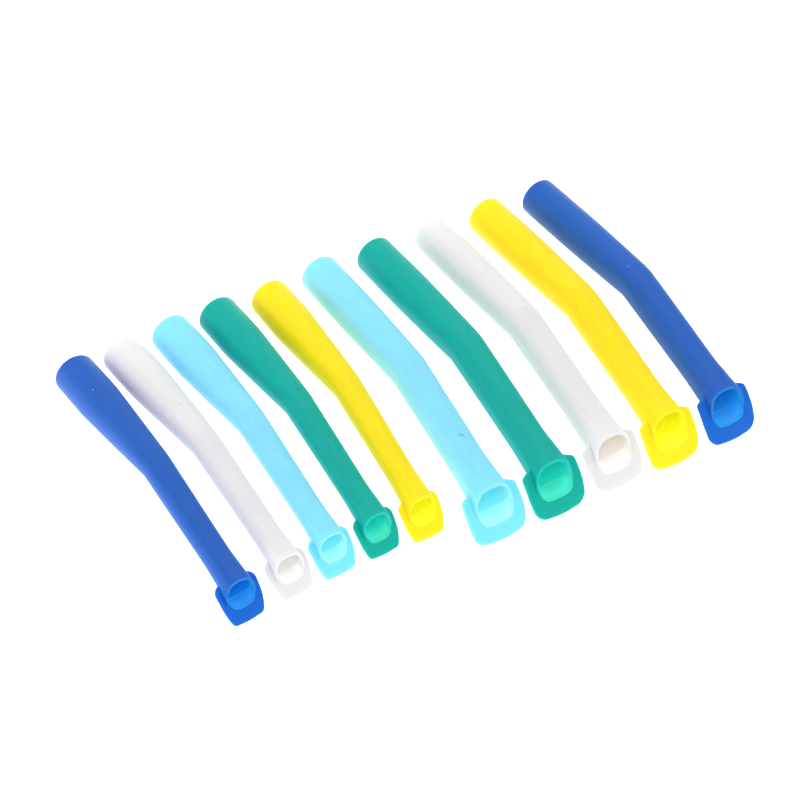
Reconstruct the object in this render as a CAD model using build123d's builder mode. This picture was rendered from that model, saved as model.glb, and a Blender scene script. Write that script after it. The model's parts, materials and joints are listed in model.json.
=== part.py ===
from build123d import *
import os
from dataclasses import dataclass
from math import atan2, cos, degrees, radians, sin

# A table row of loose suction tips: bent, hollow, one-piece mouldings in two sizes.
# Each tip is drawn with its bend at the origin, its lower leg along +X and its mouth side up.
# The row runs along X on the table, Z = 0, with the mouths towards -Y.

# Sizes that both tips share (millimetres)
seat_radius = 5.5          # outside of the round end that pushes into the suction valve
seat_wall = 0.9
leg_wall = 0.85            # from the taper to the neck
mouth_wall = 0.55          # thins towards the mouth's lip
shield_thickness = 1.0
cut_overrun = 12.0         # how far cutting tools run past what they cut


@dataclass(frozen=True)
class TipSize:
    """Sizes of one moulding, in millimetres and degrees."""

    upper_leg: float           # bend to the cut round end, along the axis
    seat_length: float         # straight round stretch
    bend: float                # turn between the two legs
    bend_section: tuple        # outside width, height and corner radius at the bend
    neck_section: tuple        # the same where the lower leg is slimmest
    mouth_section: tuple       # the same at the mouth
    neck_reach: float          # bend to the slimmest place
    mouth_reach: float         # bend to the lowest point inside the mouth
    mouth_lift: float          # of the mouth section's middle over the axis
    mouth_slant: float         # between the lower leg and the plane of the mouth
    shield_setback: float      # from the mouth's lowest point back to the shield's upper edge
    shield_rise: float         # of the shield's upper edge over the axis, at mid thickness
    shield_length: float       # chord of the shield, top to bottom
    shield_slopes: tuple       # how steeply the shield falls at its top and at its bottom
    ear_width: float
    ear_drop: float            # from the shield's upper edge to its widest place
    foot_width: float
    foot_bulge: float
    side_bulge: float
    ear_radius: float
    foot_radius: float
    round_ears: bool


large = TipSize(
    upper_leg=45.0, seat_length=20.0, bend=19.0,
    bend_section=(9.4, 9.2, 4.2), neck_section=(9.1, 8.4, 3.7), mouth_section=(11.1, 7.9, 3.6),
    neck_reach=30.0, mouth_reach=45.0, mouth_lift=0.45, mouth_slant=50.0,
    shield_setback=7.6, shield_rise=1.3, shield_length=13.4, shield_slopes=(20.0, 47.0),
    ear_width=15.9, ear_drop=1.5, foot_width=14.6, foot_bulge=0.7, side_bulge=0.45,
    ear_radius=1.3, foot_radius=3.7, round_ears=False,
)

small = TipSize(
    upper_leg=40.5, seat_length=13.0, bend=20.0,
    bend_section=(7.4, 7.3, 3.4), neck_section=(6.9, 6.7, 3.1), mouth_section=(8.0, 6.5, 3.1),
    neck_reach=28.0, mouth_reach=39.9, mouth_lift=0.35, mouth_slant=57.0,
    shield_setback=5.9, shield_rise=0.2, shield_length=10.7, shield_slopes=(14.0, 48.0),
    ear_width=11.3, ear_drop=3.6, foot_width=8.2, foot_bulge=0.3, side_bulge=0.4,
    ear_radius=3.6, foot_radius=1.3, round_ears=True,
)


def across(x, z, rise):
    """Plane square to a leg that climbs by rise degrees: its X is the width, its Y the height."""
    return Plane(origin=(x, 0, z), x_dir=(0, 1, 0), z_dir=(cos(radians(rise)), 0, sin(radians(rise))))


def leg_planes(size):
    """Section planes at the round end, the end of the seat, the bend, the neck and the mouth."""
    way = (cos(radians(size.bend)), sin(radians(size.bend)))
    taper_length = size.upper_leg - size.seat_length
    round_end = across(-size.upper_leg * way[0], -size.upper_leg * way[1], size.bend)
    seat_end = across(-taper_length * way[0], -taper_length * way[1], size.bend)
    bend = across(0, 0, size.bend / 2)
    neck = across(size.neck_reach, 0, 0)
    mouth = across(size.mouth_reach, size.mouth_lift, 0)
    return round_end, seat_end, bend, neck, mouth


def leg_section(section, inset, stretch=1.0):
    """Rounded rectangle inside a section's outline, with its height stretched on a slanted plane."""
    width, height, corner = section
    with BuildSketch() as outline:
        RectangleRounded(width - 2 * inset, (height - 2 * inset) * stretch, corner - inset)
    return outline.sketch


def tube(size, seat_inset, leg_inset, mouth_inset, end_overrun):
    """Solid bent tube: the outside for zero insets, the space inside for the walls as insets."""
    round_end, seat_end, bend, neck, mouth = leg_planes(size)
    bend_outline = leg_section(size.bend_section, leg_inset, 1 / cos(radians(size.bend / 2)))
    neck_outline = leg_section(size.neck_section, leg_inset)
    mouth_outline = leg_section(size.mouth_section, mouth_inset)
    with BuildPart() as solid:
        with BuildSketch(round_end.offset(-end_overrun)):
            Circle(seat_radius - seat_inset)
        extrude(amount=size.seat_length + end_overrun)
        with BuildSketch(seat_end):
            Circle(seat_radius - seat_inset)
        with BuildSketch(bend):
            add(bend_outline)
        loft()
        with BuildSketch(bend):
            add(bend_outline)
        with BuildSketch(neck):
            add(neck_outline)
        loft()
        with BuildSketch(neck):
            add(neck_outline)
        with BuildSketch(mouth):
            add(mouth_outline)
        loft()
        with BuildSketch(mouth):
            add(mouth_outline)
        extrude(amount=cut_overrun)
    return solid.part


def mouth_plane(size):
    """Plane of the slanted mouth, with its normal out of the mouth."""
    floor = size.mouth_lift - size.mouth_section[1] / 2 + mouth_wall
    slant = radians(size.mouth_slant)
    return Plane(origin=(size.mouth_reach, 0, floor), x_dir=(0, 1, 0), z_dir=(sin(slant), 0, cos(slant)))


def shield_top(size):
    """X and Z of the shield's upper edge, at mid thickness."""
    return size.mouth_reach - size.shield_setback, size.shield_rise


def shield_foot(size):
    """X and Z of the shield's lower edge, at mid thickness."""
    fall = radians(sum(size.shield_slopes) / 2)
    top_x, top_z = shield_top(size)
    return top_x + size.shield_length * cos(fall), top_z - size.shield_length * sin(fall)


def shield_outline(size):
    """Half of the shield's outline, mirrored: its Y runs down the shield from the upper edge."""
    ear = (size.ear_width / 2, -size.ear_drop)
    foot = (size.foot_width / 2, -size.shield_length)
    side = ((ear[0] + foot[0]) / 2 + size.side_bulge, (ear[1] + foot[1]) / 2)
    bottom = (0, foot[1] - size.foot_bulge)
    half_shoulder = size.mouth_section[0] / 2 - leg_wall
    with BuildSketch() as outline:
        with BuildLine():
            if size.round_ears:
                Line((0, 0), (ear[0] - size.ear_radius, 0))
                TangentArc((ear[0] - size.ear_radius, 0), ear, tangent=(1, 0))
            else:
                Polyline((0, 0), (half_shoulder, 0), ear)
            ThreePointArc(ear, side, foot)
            TangentArc(bottom, foot, tangent=(1, 0))
            Line(bottom, (0, 0))
        make_face()
        if not size.round_ears:
            fillet(outline.vertices().sort_by_distance(ear)[0], size.ear_radius)
        fillet(outline.vertices().sort_by_distance(foot)[0], size.foot_radius)
        mirror(about=Plane.YZ)
    return outline.sketch


def shield(size):
    """Curved plate round the mouth, cut to its outline."""
    top_x, top_z = shield_top(size)
    foot_x, foot_z = shield_foot(size)
    first_slope, last_slope = size.shield_slopes
    mean_slope = radians((first_slope + last_slope) / 2)
    half_turn = radians((last_slope - first_slope) / 2)
    sagitta = size.shield_length / 2 * (1 - cos(half_turn)) / sin(half_turn)
    down = Vector(cos(mean_slope), 0, -sin(mean_slope))
    out = Vector(sin(mean_slope), 0, cos(mean_slope))
    top = Vector(top_x, 0, top_z) - down * shield_thickness
    foot = Vector(foot_x, 0, foot_z) + down * shield_thickness
    middle = (top + foot) / 2 + out * sagitta
    with BuildPart() as plate:
        with BuildSketch(Plane.XZ):
            with BuildLine():
                ThreePointArc((top.X, top.Z), (middle.X, middle.Z), (foot.X, foot.Z))
            trace(line_width=shield_thickness)
        extrude(amount=size.ear_width, both=True)
        outline_plane = Plane(origin=(top_x, 0, top_z), x_dir=(0, 1, 0), z_dir=out)
        with BuildSketch(outline_plane):
            add(shield_outline(size))
        extrude(amount=cut_overrun, both=True, mode=Mode.INTERSECT)
    return plate.part


def make_tip(size):
    """One whole tip, with its bend at the origin."""
    with BuildPart() as tip:
        add(tube(size, 0, 0, 0, 0))
        split(bisect_by=mouth_plane(size), keep=Keep.BOTTOM)
        add(shield(size))
        add(tube(size, seat_wall, leg_wall, mouth_wall, cut_overrun), mode=Mode.SUBTRACT)
    return tip.part


def resting_pitch(size):
    """Fall of the lower leg when the round end and the shield's foot both touch the table."""
    bend = radians(size.bend)
    heel_x = -size.upper_leg * cos(bend) + seat_radius * sin(bend)
    heel_z = -size.upper_leg * sin(bend) - seat_radius * cos(bend)
    foot_x, foot_z = shield_foot(size)
    steep = radians(size.shield_slopes[1])
    toe_x = foot_x - shield_thickness / 2 * sin(steep)
    toe_z = foot_z - shield_thickness / 2 * cos(steep)
    return degrees(atan2(toe_z - heel_z, toe_x - heel_x))


@dataclass(frozen=True)
class LaidTip:
    """How one tip lies: the clear gap before it in the row, its bend's place back, and its turn."""

    name: str
    size: TipSize
    gap: float
    back: float
    turn: float


laid_tips = (
    LaidTip("small_blue_tip", small, 0.0, -0.5, 7.0),
    LaidTip("small_white_tip", small, 2.0, 0.5, 7.0),
    LaidTip("small_cyan_tip", small, 1.7, 1.5, 5.5),
    LaidTip("small_green_tip", small, 1.7, 2.0, 4.5),
    LaidTip("small_yellow_tip", small, 2.3, 1.5, 2.5),
    LaidTip("large_cyan_tip", large, 2.5, -1.0, 2.5),
    LaidTip("large_green_tip", large, 1.2, -1.0, 3.0),
    LaidTip("large_white_tip", large, 2.1, -0.5, 3.0),
    LaidTip("large_yellow_tip", large, 1.6, -0.7, 2.8),
    LaidTip("large_blue_tip", large, 1.9, -0.6, 3.2),
)

mouldings = {size: make_tip(size) for size in (large, small)}

row = []
along = 0.0
for laid in laid_tips:
    half_room = max(laid.size.ear_width / 2, seat_radius)
    along += laid.gap + half_room
    pitched = mouldings[laid.size].rotate(Axis.Y, resting_pitch(laid.size))
    turned = pitched.rotate(Axis.Z, laid.turn - 90)
    height = -turned.bounding_box().min.Z
    row.append(turned.moved(Location((along, laid.back, height))))
    along += half_room

boxes = [placed.bounding_box() for placed in row]
middle_x = (min(box.min.X for box in boxes) + max(box.max.X for box in boxes)) / 2
middle_y = (min(box.min.Y for box in boxes) + max(box.max.Y for box in boxes)) / 2
centre_row = Location((-middle_x, -middle_y, 0))

os.makedirs("parts", exist_ok=True)
for laid, placed in zip(laid_tips, row):
    tip = placed.moved(centre_row)
    tip.label = laid.name
    export_step(tip, f"parts/{laid.name}.step")
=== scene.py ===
"""Row of loose dental suction tips, large and small, each moulded in one piece and lying on a pale table.

Every tip is a bent hollow tube: a round hose end, a taper, a soft bend, a slimmer lower leg, a slanted
mouth and a thin curved shield round the mouth. Lengths in this file are in millimetres until a mesh is
made, and angles are in degrees.
"""

import json
import logging
import math
from dataclasses import dataclass
from enum import Enum

import bpy
import numpy as np
from mathutils import Matrix, Vector


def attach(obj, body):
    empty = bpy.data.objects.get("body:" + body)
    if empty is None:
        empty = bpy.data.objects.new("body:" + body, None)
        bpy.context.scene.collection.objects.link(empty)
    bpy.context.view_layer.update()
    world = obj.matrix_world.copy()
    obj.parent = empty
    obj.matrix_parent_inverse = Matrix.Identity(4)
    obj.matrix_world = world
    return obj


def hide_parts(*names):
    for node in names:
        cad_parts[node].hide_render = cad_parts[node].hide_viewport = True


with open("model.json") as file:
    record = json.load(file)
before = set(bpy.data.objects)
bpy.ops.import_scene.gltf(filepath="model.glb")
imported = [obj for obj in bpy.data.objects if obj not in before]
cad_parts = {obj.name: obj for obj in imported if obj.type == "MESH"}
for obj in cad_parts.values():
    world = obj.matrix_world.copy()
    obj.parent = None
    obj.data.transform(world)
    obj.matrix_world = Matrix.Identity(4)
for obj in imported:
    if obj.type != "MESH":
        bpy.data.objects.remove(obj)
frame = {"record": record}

MM = 0.001
log = logging.getLogger("suction_tips")

# points round a ring, and rings along each stretch, fine enough that no facet shows
TUBE_POINTS = 128
BORE_POINTS = 160
SHIELD_POINTS = 200
ARC_POINTS = 12
LIP_RINGS = 4
SEAT_RINGS = 10
TAPER_RINGS = 24
BEND_RINGS = 24
LEG_RINGS = 22
MOUTH_RINGS = 25
EDGE_RINGS = 9

# most of a side that a corner's arc may use up
MOST_OF_SIDE = 0.6
# how far a face's corners may be off a surface and still belong to it, in millimetres
OFF_TUBE = 0.3
OFF_BORE = 0.2
OFF_LOWER_LIP = 0.12
OFF_CREASE = 0.02
# sine of the direction up to which the pocket's floor and the mouth's lower lip reach
FLOOR_TOP = 0.35
LOWER_LIP_TOP = -0.2
# angle between faces from which an edge is a crease, in degrees
CREASE_ANGLE = 34
# rounds of walking along the centreline, or to the mouth's plane, until the place no longer changes
WALK_ROUNDS = 8
MOUTH_ROUNDS = 6


def linear(hex_colour: str) -> tuple[float, float, float, float]:
    """Turn an sRGB hex value into a linear colour with full alpha.

    Args:
        hex_colour: Six hex digits, with or without a leading #.

    Returns:
        Red, green, blue and alpha for a shader socket.
    """
    digits = hex_colour.lstrip("#")
    channels = np.array([int(digits[i:i + 2], 16) for i in (0, 2, 4)]) / 255
    curve = np.where(channels <= 0.04045, channels / 12.92, ((channels + 0.055) / 1.055) ** 2.4)
    return (*curve.tolist(), 1.0)


def capped_faces(rings: int, around: int) -> list[list[int]]:
    """Quads between rings of points that each close on themselves, and one face across either end.

    Args:
        rings: How many rings there are.
        around: Points in each ring.

    Returns:
        Vertex indices of each face.
    """
    row = np.arange(rings - 1)[:, None] * around
    column = np.arange(around)[None, :]
    after = (column + 1) % around
    ahead = row + around
    quads = np.stack([row + column, row + after, ahead + after, ahead + column], -1).reshape(-1, 4)
    first = list(range(around))
    last = list(range((rings - 1) * around, rings * around))
    return [*quads.tolist(), first[::-1], last]


def section_radius(direction: np.ndarray, half_width: np.ndarray, half_height: np.ndarray,
                   squareness: np.ndarray | float) -> np.ndarray:
    """Radius of a rounded section: (|cos p / a|^n + |sin p / b|^n)^(-1/n) in a direction p.

    Args:
        direction: Direction round the axis, in radians.
        half_width: Half of the section's width.
        half_height: Half of its height.
        squareness: The power n, where 2 is an ellipse.

    Returns:
        Radius in millimetres.
    """
    across = np.abs(np.cos(direction) / half_width) ** squareness
    upright = np.abs(np.sin(direction) / half_height) ** squareness
    return (across + upright) ** (-1 / squareness)


def new_object(name: str, points: np.ndarray, faces: list[list[int]]) -> bpy.types.Object:
    """Make a mesh object at the origin.

    Args:
        name: Name of the object and its mesh.
        points: One row of x, y, z for each vertex.
        faces: Vertex indices of each face.

    Returns:
        The object, linked to the scene.
    """
    mesh = bpy.data.meshes.new(name)
    mesh.from_pydata(points.tolist(), [], faces)
    mesh.update()
    made = bpy.data.objects.new(name, mesh)
    bpy.context.scene.collection.objects.link(made)
    return made


def rounded_corner(before: np.ndarray, corner: np.ndarray, after: np.ndarray, radius: float) -> np.ndarray:
    """Arc that rounds one corner.

    It touches both sides r tan(turn / 2) from the corner. Its points are
    ((1 - t)^2 start + 2 w t (1 - t) corner + t^2 end) / ((1 - t)^2 + 2 w t (1 - t) + t^2), a circle when w is
    the sine of half the corner's angle.

    Args:
        before: Point before the corner.
        corner: The corner.
        after: Point after the corner.
        radius: Radius of the arc.

    Returns:
        Points from one side to the other.
    """
    back, ahead = before - corner, after - corner
    longest = MOST_OF_SIDE * min(np.linalg.norm(back), np.linalg.norm(ahead))
    back, ahead = back / np.linalg.norm(back), ahead / np.linalg.norm(ahead)
    half = math.acos(np.clip(back @ ahead, -1, 1)) / 2
    reach = min(radius / math.tan(half), longest)
    t = np.linspace(0, 1, ARC_POINTS)[:, None]
    weight = math.sin(half)
    start, end = corner + back * reach, corner + ahead * reach
    blend = (1 - t) ** 2 + 2 * weight * t * (1 - t) + t ** 2
    return ((1 - t) ** 2 * start + 2 * weight * t * (1 - t) * corner + t ** 2 * end) / blend


class Zone(Enum):
    """Part of the moulding that a face belongs to, as the number in its zone attribute."""

    SHIELD = -1.0
    OUTSIDE = 0.0
    RIM = 0.5
    BORE = 1.0
    POCKET = 2.0


@dataclass(frozen=True)
class Section:
    """Rounded cross-section: |y / a| ** n + |z / b| ** n = 1, where n = 2 is an ellipse."""

    width: float
    height: float
    squareness: float

    def inset(self, wall: float, squareness: float) -> "Section":
        """The section a wall's thickness further in, with its own squareness."""
        return Section(self.width - 2 * wall, self.height - 2 * wall, squareness)


@dataclass(frozen=True)
class ShieldForm:
    """Sizes of the curved plate round the mouth."""

    top: tuple[float, float]
    length: float
    top_slope: float
    foot_slope: float
    ear_width: float
    ear_drop: float
    ear_radius: float
    foot_width: float
    foot_bulge: float
    side_bulge: float
    foot_radius: float
    round_ears: bool
    shoulder_share: float
    thickness: float = 1.0
    shoulder_radius: float = 0.5
    side_radius: float = 18.0
    bottom_radius: float = 8.0
    bottom_share: float = 0.2
    middle_share: float = 0.55

    def curve(self, down: np.ndarray, out: np.ndarray) -> tuple[np.ndarray, np.ndarray]:
        """Bend the flat plate: distance down the chord becomes a place on an arc.

        The plate's middle is an arc whose slope grows evenly from top_slope to foot_slope, so its height
        over the chord is sqrt(r^2 - (d - l/2)^2) - r cos(half turn).

        Args:
            down: Distance from the upper edge along the chord.
            out: Distance from the plate's middle, towards the mouth's side.

        Returns:
            x and z in the tip's own frame.
        """
        half_turn = math.radians((self.foot_slope - self.top_slope) / 2)
        mean = math.radians((self.foot_slope + self.top_slope) / 2)
        radius = self.length / 2 / math.sin(half_turn)
        from_middle = down - self.length / 2
        angle = np.arcsin(np.clip(from_middle / radius, -0.95, 0.95))
        rise = (radius + out) * np.cos(angle) - radius * math.cos(half_turn)
        along = from_middle + out * np.sin(angle) + self.length / 2
        x = self.top[0] + along * math.cos(mean) + rise * math.sin(mean)
        z = self.top[1] - along * math.sin(mean) + rise * math.cos(mean)
        return x, z

    def outline(self, count: int) -> np.ndarray:
        """Closed outline of the flat plate, evenly spaced, starting at the middle of its upper edge.

        Half of it is a run of corners, each replaced by its arc, and the other half mirrors it.

        Args:
            count: Number of points.

        Returns:
            Rows of (across, down).
        """
        ear, foot = self.ear_width / 2, self.foot_width / 2
        bottom = self.length + self.foot_bulge
        widest = (ear, 0.0) if self.round_ears else (ear, self.ear_drop)
        side = ((ear + foot) / 2 + self.side_bulge, (self.ear_drop + self.length) / 2)
        corners = np.array([(0, 0), (ear * self.shoulder_share, 0.0), widest, side, (foot, self.length),
                            (foot * self.bottom_share, bottom), (0, bottom)])
        radii = (self.shoulder_radius, self.ear_radius, self.side_radius, self.foot_radius,
                 self.bottom_radius)
        path = [corners[:1]]
        for before, corner, after, radius in zip(corners, corners[1:], corners[2:], radii):
            path.append(rounded_corner(before, corner, after, radius))
        half_path = np.concatenate([*path, corners[-1:]])
        other = half_path[-2:0:-1] * [-1, 1]
        closed = np.concatenate([half_path, other, half_path[:1]])
        walked = np.concatenate([[0], np.cumsum(np.linalg.norm(np.diff(closed, axis=0), axis=1))])
        even = np.linspace(0, walked[-1], count, endpoint=False)
        return np.stack([np.interp(even, walked, closed[:, axis]) for axis in (0, 1)], 1)


@dataclass(frozen=True)
class TipForm:
    """Sizes and skins of one moulding, drawn with its bend at the origin and its lower leg along +x."""

    name: str
    upper_leg: float
    bend: float
    bend_radius: float
    neck_reach: float
    mouth_reach: float
    mouth_lift: float
    mouth_slant: float
    at_bend: Section
    at_neck: Section
    at_mouth: Section
    shield: ShieldForm
    seat_length: float
    seat_radius: float
    seat_wall: float = 0.9
    leg_wall: float = 0.85
    mouth_wall: float = 0.55
    bore_squareness: float = 2.6
    pocket_depth: float = 3.4
    pocket_squareness: float = 3.4
    pocket_flare: float = 0.14
    pocket_ledge: float = 0.04
    crease_run: float = 0.12
    bore_overrun: float = 3.0
    lip_radius: float = 0.25
    blend_reach: float = 1.6
    bend_step: float = 0.24
    step_start: float = -1.2
    step_run: float = 0.35
    step_fade: float = 8.0
    bend_rings_reach: float = 4.0
    lean_start: float = 28.0

    def centreline(self, s: np.ndarray) -> tuple[np.ndarray, np.ndarray, np.ndarray]:
        """Place and rise of the tube's axis at a signed distance from the bend.

        Both legs are straight, and an arc of bend_radius joins them over tan(bend / 2) of its radius
        each way. From the neck to the mouth the axis is lifted a little, in a straight line.

        Args:
            s: Distance along the axis, negative on the upper leg.

        Returns:
            x, z and the rise of the axis in radians.
        """
        turn = math.radians(self.bend)
        reach = self.bend_radius * math.tan(turn / 2)
        part = np.clip((s + reach) / (2 * reach), 0, 1)
        rise = turn * (1 - part)
        centre_x = -reach * math.cos(turn) + self.bend_radius * math.sin(turn)
        centre_z = -reach * math.sin(turn) - self.bend_radius * math.cos(turn)
        arc_x = centre_x - self.bend_radius * np.sin(rise)
        arc_z = centre_z + self.bend_radius * np.cos(rise)
        before, after = np.minimum(s + reach, 0), np.maximum(s - reach, 0)
        lift = self.mouth_lift * np.clip((s - self.neck_reach) / (self.mouth_reach - self.neck_reach), 0, 1)
        return arc_x + before * math.cos(turn) + after, arc_z + before * math.sin(turn) + lift, rise

    def section_at(self, s: np.ndarray, inner: bool) -> tuple[np.ndarray, np.ndarray, np.ndarray]:
        """Half width, half height and squareness of the tube at a distance from the bend.

        The values run straight from station to station, and are averaged over blend_reach each way so
        that the seat, taper and neck flow into each other.

        Args:
            s: Distance along the axis, negative on the upper leg.
            inner: Whether it is the bore instead of the outside.

        Returns:
            Half width, half height and squareness.
        """
        walls = (self.seat_wall, self.leg_wall, self.leg_wall, self.mouth_wall) if inner else (0, 0, 0, 0)
        seat = Section(2 * self.seat_radius, 2 * self.seat_radius, 2.0).inset(walls[0], 2.0)
        legs = [leg.inset(wall, self.bore_squareness if inner else leg.squareness)
                for leg, wall in zip((self.at_bend, self.at_neck, self.at_mouth), walls[1:])]
        stations = [seat, seat, *legs]
        taper_start = -(self.upper_leg - self.seat_length)
        places = [-self.upper_leg, taper_start, 0, self.neck_reach, self.mouth_reach]
        spread = np.asarray(s)[..., None] + self.blend_reach * np.array([-1, -0.5, 0, 0.5, 1])

        def run(values: list[float]) -> np.ndarray:
            """Average of the straight runs between stations."""
            return np.interp(spread, places, values).mean(-1)

        return (run([leg.width / 2 for leg in stations]), run([leg.height / 2 for leg in stations]),
                run([leg.squareness for leg in stations]))

    def skin_points(self, s: np.ndarray, angle: np.ndarray) -> np.ndarray:
        """Points of the tube's outside.

        A ring is y = a cos|cos|^(2/n - 1) and h = b sin|sin|^(2/n - 1), set square to the axis. Just before
        the bend the upper side steps down by bend_step, and past the bend the step fades out.

        Args:
            s: Distance along the axis for each point.
            angle: Angle round the axis for each point, in radians.

        Returns:
            Array of x, y, z on the last axis.
        """
        half_width, half_height, power = self.section_at(s, False)
        cosine, sine = np.cos(angle), np.sin(angle)
        y = half_width * np.sign(cosine) * np.abs(cosine) ** (2 / power)
        h = half_height * np.sign(sine) * np.abs(sine) ** (2 / power)
        begun = np.clip((s - self.step_start) / self.step_run, 0, 1)
        left = np.clip(self.step_fade - s, 0, self.step_fade) / self.step_fade
        h = h - self.bend_step * begun * left * np.maximum(sine, 0)
        x, z, rise = self.centreline(s)
        return np.stack([x - h * np.sin(rise), y, z + h * np.cos(rise)], -1)

    def mouth_at(self, z: np.ndarray) -> np.ndarray:
        """x of the slanted mouth plane at a height over the axis."""
        floor = self.mouth_lift - self.at_mouth.height / 2 + self.mouth_wall
        return self.mouth_reach - (z - floor) / math.tan(math.radians(self.mouth_slant))

    def outer_skin(self) -> tuple[np.ndarray, list[list[int]]]:
        """Closed outside of the tube, from the rounded lip of the hose end to the slanted mouth.

        The lip is a quarter circle. From lean_start on, each point's share of the way to the mouth's plane
        is the same all round, so the rings lean more and more until the last lies in that plane.

        Returns:
            Points and faces.
        """
        angle = np.linspace(0, 2 * np.pi, TUBE_POINTS, endpoint=False)[None, :]
        lip, start = self.lip_radius, -self.upper_leg
        seat_end = start + self.seat_length
        legs = np.concatenate([
            np.linspace(start + lip, seat_end, SEAT_RINGS, endpoint=False),
            np.linspace(seat_end, -self.bend_rings_reach, TAPER_RINGS, endpoint=False),
            np.linspace(-self.bend_rings_reach, self.bend_rings_reach, BEND_RINGS, endpoint=False),
            np.linspace(self.bend_rings_reach, self.lean_start, LEG_RINGS),
        ])[:, None]
        body = self.skin_points(np.repeat(legs, TUBE_POINTS, 1), np.repeat(angle, len(legs), 0))
        turn = np.linspace(0, np.pi / 2, LIP_RINGS + 1)[:-1, None, None]
        first = body[:1]
        centre_x, centre_z, rise = self.centreline(np.array(start + lip))
        axis = np.array([math.cos(float(rise)), 0, math.sin(float(rise))])
        centre = np.array([float(centre_x), 0, float(centre_z)])
        outward = (first - centre) / np.linalg.norm(first - centre, axis=-1, keepdims=True)
        rounded = first - outward * lip * (1 - np.sin(turn)) - axis * lip * np.cos(turn)
        mouth_s = np.full((1, TUBE_POINTS), self.mouth_reach)
        for _ in range(MOUTH_ROUNDS):
            mouth_s = self.mouth_at(self.skin_points(mouth_s, angle)[..., 2])
        share = np.linspace(0, 1, MOUTH_RINGS + 1)[1:, None]
        run = self.lean_start + (mouth_s - self.lean_start) * share
        ending = self.skin_points(run, np.repeat(angle, len(share), 0))
        grid = np.concatenate([rounded, body, ending])
        return grid.reshape(-1, 3), capped_faces(len(grid), TUBE_POINTS)

    def bore_radius(self, s: np.ndarray, direction: np.ndarray) -> np.ndarray:
        """Radius of the bore in a direction round the axis.

        From pocket_depth inside the mouth outwards it is the larger of the bore's radius and the pocket's,
        which is squarer and flares, so the two meet in a crease on the floor and on the walls.

        Args:
            s: Distance along the axis.
            direction: Direction round the axis, in radians.

        Returns:
            Radius in millimetres.
        """
        half_width, half_height, power = self.section_at(np.minimum(s, self.mouth_reach), True)
        start = self.mouth_reach - self.pocket_depth
        grown = self.pocket_ledge + self.pocket_flare * np.clip((s - start) / self.pocket_depth, 0, 1)
        pocket = section_radius(direction, half_width + grown, half_height + grown, self.pocket_squareness)
        bore = section_radius(direction, half_width, half_height, power)
        return np.where(s > start + self.crease_run / 2, np.maximum(bore, pocket), bore)

    def bore_skin(self) -> tuple[np.ndarray, list[list[int]]]:
        """Closed space inside the tube, run past both open ends, with the squarish pocket at the mouth.

        The rings lie closer together round the bend and in the pocket, whose crease is crease_run long. The
        space goes bore_overrun past the hose end, and further past the mouth, to clear its slant.

        Returns:
            Points and faces.
        """
        angle = np.linspace(0, 2 * np.pi, BORE_POINTS, endpoint=False)[None, :]
        pocket_start = self.mouth_reach - self.pocket_depth
        s = np.concatenate([
            [-self.upper_leg - self.bore_overrun], np.linspace(-self.upper_leg - 0.3, -2.5, 26),
            np.linspace(-2, 2, 9), np.linspace(3, pocket_start - 0.6, 16),
            [pocket_start, pocket_start + self.crease_run],
            np.linspace(pocket_start + 0.6, self.mouth_reach, 8), [self.mouth_reach + 4 * self.bore_overrun],
        ])[:, None]
        reach = self.bore_radius(s, angle)
        x, z, rise = self.centreline(s)
        height = reach * np.sin(angle)
        grid = np.stack([x - height * np.sin(rise), reach * np.cos(angle), z + height * np.cos(rise)], -1)
        return grid.reshape(-1, 3), capped_faces(len(grid), BORE_POINTS)

    def shield_skin(self) -> tuple[np.ndarray, list[list[int]]]:
        """Closed curved plate with a half-round edge.

        Its rings grow from the plate's middle to its outline behind, turn round the edge in half a circle
        of the plate's thickness, and shrink back to the middle in front.

        Returns:
            Points and faces.
        """
        plate = self.shield
        half = plate.thickness / 2
        outline = plate.outline(SHIELD_POINTS)
        middle = np.array([0.0, plate.length * plate.middle_share])
        inward = middle - outline
        inward /= np.linalg.norm(inward, axis=1, keepdims=True)
        # closer together towards the edge, where the outline turns
        shares = np.array([0.12, 0.3, 0.5, 0.7, 0.86, 0.95])
        turn = np.linspace(-np.pi / 2, np.pi / 2, EDGE_RINGS)
        face = middle + (outline + inward * half - middle) * shares[:, None, None]
        edge = outline + inward * half * (1 - np.cos(turn))[:, None, None]
        flat = np.concatenate([face, edge, face[::-1]])
        side = np.ones(len(shares))
        out = half * np.concatenate([-side, np.sin(turn), side])
        x, z = plate.curve(flat[..., 1], out[:, None])
        grid = np.stack([x, flat[..., 0], z], -1)
        return grid.reshape(-1, 3), capped_faces(len(grid), SHIELD_POINTS)

    def moulding(self) -> bpy.types.Object:
        """Weld the shield to the tube and open the bore through both.

        Returns:
            One closed object in the tip's own frame, in millimetres.
        """
        parts = {}
        for word, (points, faces) in (("outside", self.outer_skin()), ("shield", self.shield_skin()),
                                      ("bore", self.bore_skin())):
            parts[word] = new_object(f"{self.name}_{word}", points, faces)
            face_outwards(parts[word])
        for word, operation in (("shield", "UNION"), ("bore", "DIFFERENCE")):
            join = parts["outside"].modifiers.new(word, "BOOLEAN")
            join.operation, join.solver, join.object = operation, "EXACT", parts[word]
        evaluated = parts["outside"].evaluated_get(bpy.context.evaluated_depsgraph_get())
        mesh = bpy.data.meshes.new_from_object(evaluated)
        for part in parts.values():
            bpy.data.objects.remove(part)
        self.mark_places(mesh)
        mesh.shade_smooth()
        mesh.set_sharp_from_angle(angle=math.radians(CREASE_ANGLE))
        made = bpy.data.objects.new(self.name, mesh)
        bpy.context.scene.collection.objects.link(made)
        return made

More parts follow.
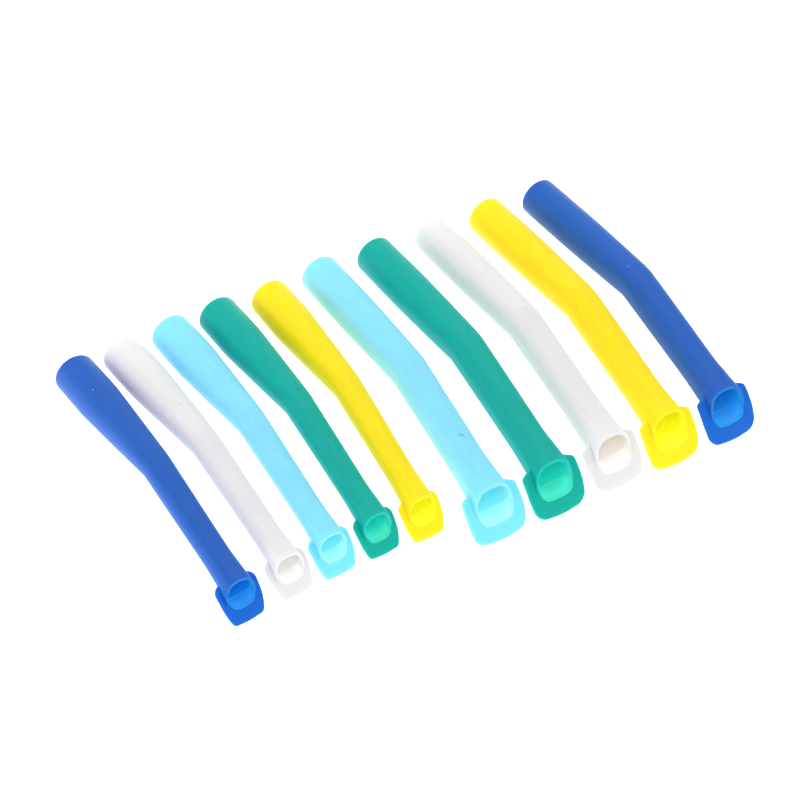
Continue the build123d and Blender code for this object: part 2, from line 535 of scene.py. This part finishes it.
    def polar(self, points: np.ndarray) -> tuple[np.ndarray, np.ndarray, np.ndarray]:
        """Distance along the axis, distance from it and direction round it, by walking the centreline.

        Args:
            points: Rows of x, y, z in the tip's own frame.

        Returns:
            Distance along, radius, and direction in radians, measured from the tip's side.
        """
        s = np.where(points[:, 0] < 0, -np.hypot(points[:, 0], points[:, 2]), points[:, 0])
        for _ in range(WALK_ROUNDS):
            x, z, rise = self.centreline(s)
            s = s + (points[:, 0] - x) * np.cos(rise) + (points[:, 2] - z) * np.sin(rise)
        x, z, rise = self.centreline(s)
        height = -(points[:, 0] - x) * np.sin(rise) + (points[:, 2] - z) * np.cos(rise)
        return s, np.hypot(points[:, 1], height), np.arctan2(height, points[:, 1])

    def mark_places(self, mesh: bpy.types.Mesh) -> None:
        """Write where each place of the moulding is, for the materials.

        The moulding attribute of a point is its distance along the tube and its distance round it from
        the top line. The zone attribute of a face is the part that it belongs to, by how far its corners
        lie outside the tube's skin and the bore's.

        Args:
            mesh: Mesh in the tip's own frame.
        """
        points = np.empty(len(mesh.vertices) * 3)
        mesh.vertices.foreach_get("co", points)
        s, radius, direction = self.polar(points.reshape(-1, 3))
        around = (np.pi / 2 - direction + np.pi) % (2 * np.pi) - np.pi
        places = mesh.attributes.new("moulding", "FLOAT_VECTOR", "POINT")
        places.data.foreach_set("vector", np.stack([s, around * radius, np.zeros_like(s)], 1).ravel())
        at = np.minimum(s, self.mouth_reach)
        off_tube = radius - section_radius(direction, *self.section_at(at, False))
        off_bore = radius - self.bore_radius(at, direction)
        corners = np.empty(len(mesh.loops), int)
        mesh.loops.foreach_get("vertex_index", corners)
        starts = np.empty(len(mesh.polygons), int)
        mesh.polygons.foreach_get("loop_start", starts)
        proud = np.maximum.reduceat(off_tube[corners], starts)
        closest = np.minimum.reduceat(off_bore[corners], starts)
        farthest = np.maximum.reduceat(off_bore[corners], starts)
        nearest_back = np.minimum.reduceat(s[corners], starts)
        highest = np.maximum.reduceat(np.sin(direction)[corners], starts)
        lower_lip = (closest <= OFF_BORE) & (farthest > OFF_LOWER_LIP) & (highest < LOWER_LIP_TOP)
        pocket_start = self.mouth_reach - self.pocket_depth - OFF_CREASE
        tests = [((proud > OFF_TUBE) | lower_lip, Zone.SHIELD),
                 (closest > OFF_BORE, Zone.OUTSIDE),
                 (farthest > OFF_BORE, Zone.RIM),
                 ((nearest_back > pocket_start) & (highest < FLOOR_TOP), Zone.POCKET)]
        zones = np.select([test for test, _ in tests], [zone.value for _, zone in tests], Zone.BORE.value)
        mesh.attributes.new("zone", "FLOAT", "FACE").data.foreach_set("value", zones)


def face_outwards(piece: bpy.types.Object) -> None:
    """Turn every face of a closed mesh outwards.

    Args:
        piece: Object whose mesh is closed.
    """
    mesh = piece.data
    mesh.calc_loop_triangles()
    points = np.empty(len(mesh.vertices) * 3)
    mesh.vertices.foreach_get("co", points)
    corners = np.empty(len(mesh.loop_triangles) * 3, int)
    mesh.loop_triangles.foreach_get("vertices", corners)
    a, b, c = points.reshape(-1, 3)[corners.reshape(-1, 3)].transpose(1, 0, 2)
    if np.einsum("ij,ij->i", a, np.cross(b, c)).sum() < 0:
        mesh.flip_normals()


class Colour(Enum):
    """Colours that the tips are moulded in."""

    BLUE = "blue"
    WHITE = "white"
    CYAN = "cyan"
    GREEN = "green"
    YELLOW = "yellow"


@dataclass(frozen=True)
class Mark:
    """Small blemish on the skin: where it is along and around the tube, its radius and its colour."""

    along: float
    around: float
    radius: float
    colour: str
    crescent: bool = False


@dataclass(frozen=True)
class MouldedPolypropylene:
    """Pigmented polypropylene, injection moulded against a satin steel wall.

    The eye gets a soft sheen without a sharp highlight, colour that glows where the wall is thin, partly
    from subsurface scattering and partly painted light in the lighter bore and pocket tones, and faint
    flow streaks along the tube.
    """

    skin: str
    streak: str
    # bore and pocket: painted light, tones lighter than the skin for the light that comes through the thin
    # wall
    bore: str
    rim: str
    pocket: str
    shield: str
    depth: tuple[float, float, float]
    depth_mm: float = 2.0
    glow: float = 0.8
    ior: float = 1.49
    specular: float = 0.14
    roughness: float = 0.42
    roughness_spread: float = 0.05
    streak_mm: float = 9.0
    streak_stretch: float = 5.0
    grain_mm: float = 0.35
    grain_share: float = 0.35
    parting_line_mm: float = 0.16
    relief_mm: float = 0.02
    relief_strength: float = 0.25
    worn_edge_mm: float = 0.3

    def material(self, name: str, marks: tuple[Mark, ...]) -> bpy.types.Material:
        """Build the material.

        The pattern follows the moulding attribute: x is the distance along the tube and y the distance
        round it from the top line. The zone attribute says which part of the moulding a face belongs to.

        Args:
            name: Name of the material.
            marks: Blemishes of this one tip.

        Returns:
            The material.
        """
        made = bpy.data.materials.new(name)
        made.use_nodes = True
        tree = made.node_tree
        tree.nodes.clear()
        place = add(tree, "ShaderNodeAttribute", {"attribute_name": "moulding"})
        axes = add(tree, "ShaderNodeSeparateXYZ", {}, {"Vector": place.outputs["Vector"]})
        along, around = axes.outputs[:2]
        zone = add(tree, "ShaderNodeAttribute", {"attribute_name": "zone"}).outputs["Fac"]
        where = add(tree, "ShaderNodeTexCoord").outputs["Object"]
        flat = add(tree, "ShaderNodeCombineXYZ", {}, {"X": along, "Y": around}).outputs[0]
        # flow streaks: long and narrow, as the melt ran along the tube
        run = add(tree, "ShaderNodeMapping", {"Scale": (1 / self.streak_stretch, 1.0, 1.0)}, {"Vector": flat})
        streaks = add(tree, "ShaderNodeTexNoise",
                      {"Scale": self.streak_stretch / self.streak_mm, "Detail": 3.0, "Roughness": 0.45},
                      {"Vector": run.outputs[0]}).outputs["Fac"]
        amount = add(tree, "ShaderNodeMapRange", {"From Min": 0.35, "From Max": 0.75}, {"Value": streaks})
        colour = mixed(tree, amount.outputs[0], linear(self.skin), linear(self.streak))
        # each zone has its own tone; the bore and pocket tones are painted light, lighter than the skin for
        # the light that comes through the thin wall
        zone_tones_and_painted_glow = ((Zone.OUTSIDE, Zone.SHIELD, self.shield), (Zone.OUTSIDE, Zone.RIM, self.rim),
                 (Zone.RIM, Zone.BORE, self.bore), (Zone.BORE, Zone.POCKET, self.pocket))
        for before, reached, tone in zone_tones_and_painted_glow:
            amount = add(tree, "ShaderNodeMapRange", {"From Min": before.value, "From Max": reached.value},
                         {"Value": zone})
            colour = mixed(tree, amount.outputs[0], colour, linear(tone))
        for mark in marks:
            colour = mixed(tree, self.spot(tree, flat, mark), colour, linear(mark.colour))
        # the satin steel's spark-eroded grain is 0.05 mm, drawn coarser so that it can be seen at all
        grain = add(tree, "ShaderNodeTexNoise", {"Scale": 1 / (self.grain_mm * MM), "Detail": 2.0},
                    {"Vector": where})
        satin = add(tree, "ShaderNodeMapRange",
                    {"To Min": self.roughness - self.roughness_spread,
                     "To Max": self.roughness + self.roughness_spread}, {"Value": streaks})
        # parting line: a hair of raised plastic along the top, where the mould's halves met
        from_top = add(tree, "ShaderNodeMath", {"operation": "ABSOLUTE"}, {0: around})
        parting = add(tree, "ShaderNodeMapRange",
                      {"From Min": 0.0, "From Max": self.parting_line_mm, "To Min": 1.0, "To Max": 0.0},
                      {"Value": from_top.outputs[0]})
        relief = add(tree, "ShaderNodeMath", {"operation": "MULTIPLY_ADD", 1: self.grain_share},
                     {0: grain.outputs["Fac"], 2: parting.outputs[0]})
        soft = add(tree, "ShaderNodeBevel", {"samples": 4, "Radius": self.worn_edge_mm * MM})
        bump = add(tree, "ShaderNodeBump",
                   {"Strength": self.relief_strength, "Distance": self.relief_mm * MM},
                   {"Height": relief.outputs[0], "Normal": soft.outputs[0]})
        shader = add(tree, "ShaderNodeBsdfPrincipled",
                     {"IOR": self.ior, "Specular IOR Level": self.specular, "Subsurface Weight": self.glow,
                      "Subsurface Radius": self.depth, "Subsurface Scale": self.depth_mm * MM},
                     {"Base Color": colour, "Roughness": satin.outputs[0], "Normal": bump.outputs[0]})
        add(tree, "ShaderNodeOutputMaterial", {}, {"Surface": shader.outputs[0]})
        return made

    def spot(self, tree: bpy.types.NodeTree, flat: bpy.types.NodeSocket, mark: Mark) -> bpy.types.NodeSocket:
        """How much of a mark shows: one within its radius, fading over the last third of it.

        A crescent is what is left of the spot where a second one, half a radius off to the side, covers it.

        Args:
            tree: Node tree of the material.
            flat: Place on the skin, along and around.
            mark: The blemish.

        Returns:
            Socket with the amount.
        """
        away = add(tree, "ShaderNodeVectorMath", {"operation": "DISTANCE", 1: (mark.along, mark.around, 0)},
                   {0: flat})
        near = add(tree, "ShaderNodeMapRange",
                   {"From Min": mark.radius * 0.7, "From Max": mark.radius, "To Min": 1.0, "To Max": 0.0},
                   {"Value": away.outputs["Value"]}).outputs[0]
        if not mark.crescent:
            return near
        shifted = (mark.along + mark.radius / 2, mark.around - mark.radius / 2, 0)
        other = add(tree, "ShaderNodeVectorMath", {"operation": "DISTANCE", 1: shifted}, {0: flat})
        uncovered = add(tree, "ShaderNodeMapRange",
                        {"From Min": mark.radius * 0.85, "From Max": mark.radius},
                        {"Value": other.outputs["Value"]}).outputs[0]
        return add(tree, "ShaderNodeMath", {"operation": "MULTIPLY"}, {0: near, 1: uncovered}).outputs[0]


def add(tree: bpy.types.NodeTree, kind: str, settings: dict | None = None,
        links: dict | None = None) -> bpy.types.Node:
    """Add one node with its settings and links.

    Args:
        tree: Node tree that gets the node.
        kind: Type name of the node.
        settings: Values by the name of a property, or by the name or index of an input.
        links: Sockets by the name or index of the input they feed.

    Returns:
        The node.
    """
    node = tree.nodes.new(kind)
    for key, value in (settings or {}).items():
        if isinstance(key, str) and hasattr(node, key):
            setattr(node, key, value)
        else:
            node.inputs[key].default_value = value
    for key, socket in (links or {}).items():
        tree.links.new(socket, node.inputs[key])
    return node


def mixed(tree: bpy.types.NodeTree, amount: bpy.types.NodeSocket, first: object,
          second: object) -> bpy.types.NodeSocket:
    """Blend two colours by an amount.

    Args:
        tree: Node tree that gets the node.
        amount: Socket that says how much of the second colour shows.
        first: Socket or linear colour.
        second: Socket or linear colour.

    Returns:
        Socket with the colour.
    """
    node = add(tree, "ShaderNodeMix", {"data_type": "RGBA"}, {"Factor": amount})
    for index, value in ((6, first), (7, second)):
        if isinstance(value, bpy.types.NodeSocket):
            tree.links.new(value, node.inputs[index])
        else:
            node.inputs[index].default_value = value
    return node.outputs[2]


LARGE = TipForm(
    name="large", upper_leg=45.0, bend=19.0, bend_radius=2.5, neck_reach=30.0, mouth_reach=45.0,
    mouth_lift=0.45, mouth_slant=50.0, at_bend=Section(9.4, 9.2, 2.5), at_neck=Section(9.1, 8.4, 2.5),
    at_mouth=Section(11.1, 7.9, 2.8), seat_length=20.0, seat_radius=5.5,
    shield=ShieldForm(top=(37.4, 1.3), length=13.4, top_slope=20.0, foot_slope=47.0, ear_width=15.9,
                      ear_drop=1.5, ear_radius=1.3, foot_width=14.6, foot_bulge=0.7, side_bulge=0.45,
                      foot_radius=3.7, round_ears=False, shoulder_share=0.62),
)

SMALL = TipForm(
    name="small", upper_leg=40.5, bend=20.0, bend_radius=2.5, neck_reach=28.0, mouth_reach=39.9,
    mouth_lift=0.35, mouth_slant=57.0, at_bend=Section(7.4, 7.3, 2.35), at_neck=Section(6.9, 6.7, 2.2),
    at_mouth=Section(8.0, 6.5, 2.5), seat_length=13.0, seat_radius=5.5, pocket_depth=2.4,
    shield=ShieldForm(top=(34.0, 0.2), length=10.7, top_slope=14.0, foot_slope=48.0, ear_width=11.3,
                      ear_drop=3.6, ear_radius=3.6, foot_width=8.2, foot_bulge=0.3, side_bulge=0.4,
                      foot_radius=1.3, round_ears=True, shoulder_share=0.3),
)

# in each finish the bore and pocket tones are painted light, lighter than the skin for the light that comes
# through the thin wall
FINISHES = {
    Colour.BLUE: MouldedPolypropylene(
        skin="#245db0", streak="#2861b6", bore="#1ea4d8", rim="#236eb9", pocket="#2c9ad4", shield="#1068c2",
        depth=(0.25, 0.5, 1.0)),
    Colour.WHITE: MouldedPolypropylene(
        skin="#d8d7d9", streak="#dcdbdd", bore="#ebe4dd", rim="#dad9da", pocket="#e6e0da", shield="#d4d2d4",
        depth=(1.0, 1.0, 1.0)),
    Colour.CYAN: MouldedPolypropylene(
        skin="#84d1f8", streak="#89d8fb", bore="#a4edfc", rim="#8ad7f9", pocket="#a9effa", shield="#7ed6f8",
        depth=(0.5, 0.9, 1.0)),
    Colour.GREEN: MouldedPolypropylene(
        skin="#07a095", streak="#0ea69b", bore="#34d6cc", rim="#15aca1", pocket="#4accb8", shield="#06a99c",
        depth=(0.3, 1.0, 0.85)),
    Colour.YELLOW: MouldedPolypropylene(
        skin="#fbd217", streak="#fcda1b", bore="#fcf825", rim="#fbdb1a", pocket="#faf92b", shield="#fbd919",
        depth=(1.0, 0.8, 0.2)),
}


@dataclass(frozen=True)
class LaidTip:
    """One tip on the table, placed by the hose end that the frame gives it."""

    form: TipForm
    colour: Colour
    marks: tuple[Mark, ...] = ()

    def stem(self) -> str:
        """Size and colour, as the frame's names start."""
        return f"{self.form.name}_{self.colour.value}"

    def pose(self) -> tuple[np.ndarray, np.ndarray]:
        """Directions of the tip's axes as columns, and the place of its bend in millimetres.

        The hose end's middle lies on the upper leg, so the bend is further along it, and the lower leg
        keeps the heading and falls by the bend's turn less the upper leg's climb.

        Returns:
            Three by three matrix and a point.
        """
        mount = next(m for m in frame["record"]["mounts"] if m["name"] == self.stem() + "_hose_end")
        back = np.array(mount["axis"])
        bend_point = np.array(mount["pos_m"]) / MM
        bend_point = bend_point - back * (self.form.upper_leg - self.form.seat_length / 2)
        fall = math.radians(self.form.bend) - math.asin(-back[2])
        heading = np.array([-back[0], -back[1], 0.0])
        heading /= np.linalg.norm(heading)
        up = np.array([0.0, 0.0, 1.0])
        x_axis = heading * math.cos(fall) - up * math.sin(fall)
        y_axis = np.cross(up, heading)
        return np.stack([x_axis, y_axis, np.cross(x_axis, y_axis)], 1), bend_point

    def build(self, master: bpy.types.Object) -> bpy.types.Object:
        """Lay a copy of the moulding on the table and give it its finish.

        Args:
            master: The moulding in its own frame, in millimetres.

        Returns:
            The finished piece.
        """
        mesh = master.data.copy()
        mesh.name = self.stem() + "_moulding"
        points = np.empty(len(mesh.vertices) * 3)
        mesh.vertices.foreach_get("co", points)
        turn, bend_point = self.pose()
        mesh.vertices.foreach_set("co", ((points.reshape(-1, 3) @ turn.T + bend_point) * MM).ravel())
        mesh.update()
        piece = bpy.data.objects.new(self.stem() + "_moulding", mesh)
        bpy.context.scene.collection.objects.link(piece)
        plastic = FINISHES[self.colour].material(self.stem() + "_moulded_polypropylene", self.marks)
        mesh.materials.clear()
        mesh.materials.append(plastic)
        node = self.stem() + "_tip"
        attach(piece, node + "_body")
        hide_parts(node)
        return piece


ROW = (
    LaidTip(SMALL, Colour.BLUE, (Mark(-27.0, -1.4, 0.22, "#7fa6dc"),)),
    LaidTip(SMALL, Colour.WHITE, (Mark(-11.0, 0.4, 0.2, "#8f8f94"),)),
    LaidTip(SMALL, Colour.CYAN),
    LaidTip(SMALL, Colour.GREEN),
    LaidTip(SMALL, Colour.YELLOW),
    LaidTip(LARGE, Colour.CYAN, (Mark(24.0, 0.5, 0.9, "#58bdf0", True),)),
    LaidTip(LARGE, Colour.GREEN),
    LaidTip(LARGE, Colour.WHITE),
    LaidTip(LARGE, Colour.YELLOW),
    LaidTip(LARGE, Colour.BLUE, (Mark(-2.3, -1.6, 0.25, "#6f9bd8"),)),
)


@dataclass(frozen=True)
class Softbox:
    """Square lamp that faces the row: its place and side in millimetres, and its watts."""

    name: str
    place: tuple[float, float, float]
    side: float
    power: float

    def stand(self) -> None:
        """Put the lamp in the scene."""
        data = bpy.data.lights.new(self.name, "AREA")
        data.size = self.side * MM
        data.energy = self.power
        box = bpy.data.objects.new(self.name, data)
        box.location = Vector(self.place) * MM
        box.rotation_euler = (-Vector(self.place)).to_track_quat("-Z", "Y").to_euler()
        bpy.context.scene.collection.objects.link(box)


@dataclass(frozen=True)
class Studio:
    """White table, soft light from above and the left, and the camera."""

    softboxes: tuple[Softbox, ...] = (
        Softbox("overhead_softbox", (350, 350, 900), 900, 3.8),
        Softbox("left_softbox", (-900, 0, 330), 600, 2.6),
    )
    surroundings_strength: float = 0.9
    camera_place: tuple[float, float, float] = (-163.9, -223.7, 359.6)
    camera_aim: tuple[float, float, float] = (-1.0, 2.32, 0.0)
    camera_roll: float = 8.71
    lens: float = 78.79
    table_side: float = 4000.0
    table_gap: float = 0.1
    table_glow: float = 0.9

    def table(self) -> None:
        """White table top, glowing a little as a light table does."""
        side = self.table_side / 2
        corners = np.array([(-side, -side), (side, -side), (side, side), (-side, side)])
        points = np.column_stack([corners, np.full(4, -self.table_gap)]) * MM
        top = new_object("table_top", points, [[0, 1, 2, 3]])
        made = bpy.data.materials.new("white_opal_acrylic")
        made.use_nodes = True
        shader = made.node_tree.nodes["Principled BSDF"]
        shader.inputs["Base Color"].default_value = linear("#f6f6f6")
        shader.inputs["Roughness"].default_value = 0.8
        shader.inputs["Emission Color"].default_value = linear("#ffffff")
        shader.inputs["Emission Strength"].default_value = self.table_glow
        top.data.materials.append(made)

    def surroundings(self) -> None:
        """Even white surroundings."""
        world = bpy.data.worlds.new("white_studio")
        world.use_nodes = True
        back = world.node_tree.nodes["Background"]
        back.inputs["Color"].default_value = (1.0, 1.0, 1.0, 1.0)
        back.inputs["Strength"].default_value = self.surroundings_strength
        bpy.context.scene.world = world
        bpy.context.scene.view_settings.view_transform = "Standard"

    def camera(self) -> None:
        """Camera that looks down on the row from the front left, turned a little about its own axis."""
        data = bpy.data.cameras.new("camera")
        data.lens = self.lens
        data.sensor_width = 36.0
        data.clip_start, data.clip_end = 0.01, 20.0
        camera = bpy.data.objects.new("camera", data)
        place = Vector(self.camera_place)
        turn = (Vector(self.camera_aim) - place).to_track_quat("-Z", "Y").to_matrix().to_4x4()
        roll = Matrix.Rotation(math.radians(self.camera_roll), 4, "Z")
        camera.matrix_world = Matrix.Translation(place * MM) @ turn @ roll
        bpy.context.scene.collection.objects.link(camera)
        bpy.context.scene.camera = camera


def main() -> None:
    """Build the forms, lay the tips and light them."""
    logging.basicConfig(level=logging.INFO, format="%(name)s: %(message)s")
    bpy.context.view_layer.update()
    masters = {form: form.moulding() for form in (LARGE, SMALL)}
    for tip in ROW:
        piece = tip.build(masters[tip.form])
        log.info("laid %s, %d faces", piece.name, len(piece.data.polygons))
    for master in masters.values():
        bpy.data.objects.remove(master)
    studio = Studio()
    studio.table()
    studio.surroundings()
    for softbox in studio.softboxes:
        softbox.stand()
    studio.camera()


if __name__ == "__main__":
    main()
